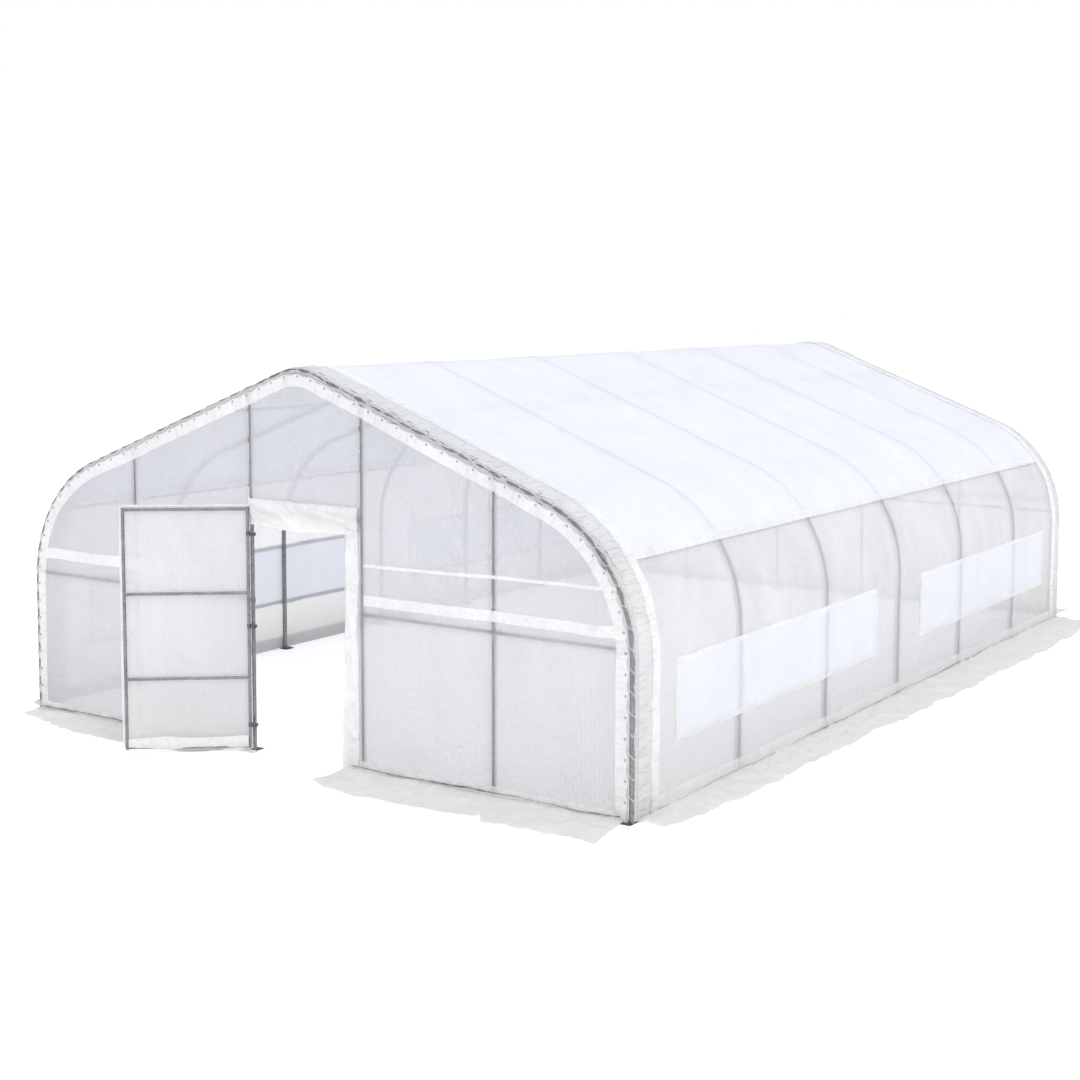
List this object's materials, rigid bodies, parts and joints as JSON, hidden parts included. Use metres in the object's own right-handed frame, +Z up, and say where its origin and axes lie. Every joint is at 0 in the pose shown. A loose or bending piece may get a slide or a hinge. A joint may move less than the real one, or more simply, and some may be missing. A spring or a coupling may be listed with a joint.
{
  "type": "polytunnel greenhouse",
  "caption": "Walk-in polytunnel greenhouse: tube hoops under a translucent sheet cover, mesh side windows, a gabled front with a hinged door standing open.",
  "frame": {"origin": "middle of the hoop frame on the ground", "axes": "+X to the right seen from the front, +Y from the front wall to the back wall, +Z up"},
  "size_m": [7.188, 10.3614, 3.0748],
  "materials": {
    "galvanised_tube": "dull galvanised",
    "cover_film": "translucent reinforced film",
    "hem_fabric": "white coated fabric",
    "window_mesh": "fine white mesh"
  },
  "bodies": {
    "tunnel": {"front_hoop": "galvanised_tube", "hoop_2": "galvanised_tube", "hoop_3": "galvanised_tube", "hoop_4": "galvanised_tube", "hoop_5": "galvanised_tube", "hoop_6": "galvanised_tube", "back_hoop": "galvanised_tube", "hoop_feet": "galvanised_tube", "ridge_purlin": "galvanised_tube", "eave_purlins": "galvanised_tube", "roof_purlins": "galvanised_tube", "door_posts": "galvanised_tube", "front_posts": "galvanised_tube", "back_posts": "galvanised_tube", "front_rails": "galvanised_tube", "back_rails": "galvanised_tube", "door_header": "galvanised_tube", "post_feet": "galvanised_tube", "hinge_clamps": "galvanised_tube", "purlin_clamps": "galvanised_tube", "rail_brackets": "galvanised_tube", "right_side_cover": "cover_film", "left_side_cover": "cover_film", "right_roof_cover": "cover_film", "left_roof_cover": "cover_film", "ridge_cover": "cover_film", "front_wall_left": "cover_film", "front_wall_right": "cover_film", "front_gable": "cover_film", "back_wall": "cover_film", "valance": "cover_film", "window_hems": "hem_fabric", "end_hems": "hem_fabric", "right_skirt": "hem_fabric", "left_skirt": "hem_fabric", "front_skirts": "hem_fabric", "back_skirt": "hem_fabric", "right_windows": "window_mesh", "left_windows": "window_mesh"},
    "door": {"hinge_eyes": "galvanised_tube", "door_hinge_stile": "galvanised_tube", "door_free_stile": "galvanised_tube", "door_rails": "galvanised_tube", "door_cover": "cover_film", "door_bottom_hem": "hem_fabric"}
  },
  "joints": [
    {"name": "door_hinge", "type": "hinge", "parent": "tunnel", "child": "door", "pos_m": [-0.48, -4.6105, 1], "axis": [0, 0, 1], "range_deg": [-20, 142]}
  ]
}
